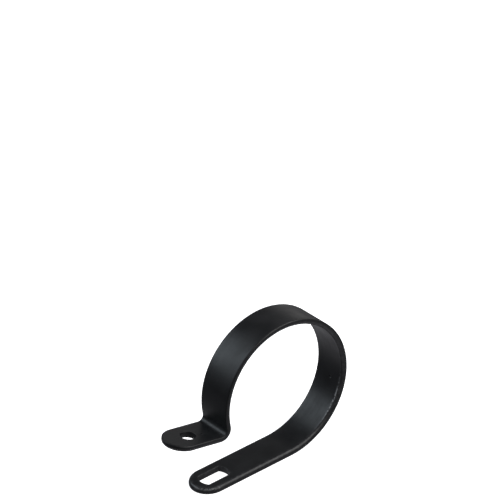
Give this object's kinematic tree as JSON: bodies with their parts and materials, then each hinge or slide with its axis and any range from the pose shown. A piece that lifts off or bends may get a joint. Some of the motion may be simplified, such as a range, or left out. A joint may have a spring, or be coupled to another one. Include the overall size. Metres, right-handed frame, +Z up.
{
  "type": "hose clamp",
  "caption": "Bent steel strap clamp: a ring for a hose, a long arm with a bolt slot and a short foot with a bolt hole.",
  "frame": {"origin": "centre of the ring, on the axis of the hose that it holds", "axes": "+Y along the hose's axis, +Z up from the arm, which lies flat at the bottom and runs from below the ring's centre towards -X"},
  "size_m": [0.096, 0.0178, 0.069],
  "materials": {
    "black_coat": "satin"
  },
  "bodies": {
    "arm_side": {"arm": "black_coat", "lower_band": "black_coat"},
    "foot_side": {"upper_band": "black_coat", "foot_bend": "black_coat", "foot": "black_coat"}
  },
  "joints": [
    {"name": "closing_flex", "type": "hinge", "parent": "arm_side", "child": "foot_side", "pos_m": [0.02811, 0, 0.01757], "axis": [0, -1, 0], "range_deg": [-5, 17], "stiffness_Nm_per_rad": 8}
  ]
}
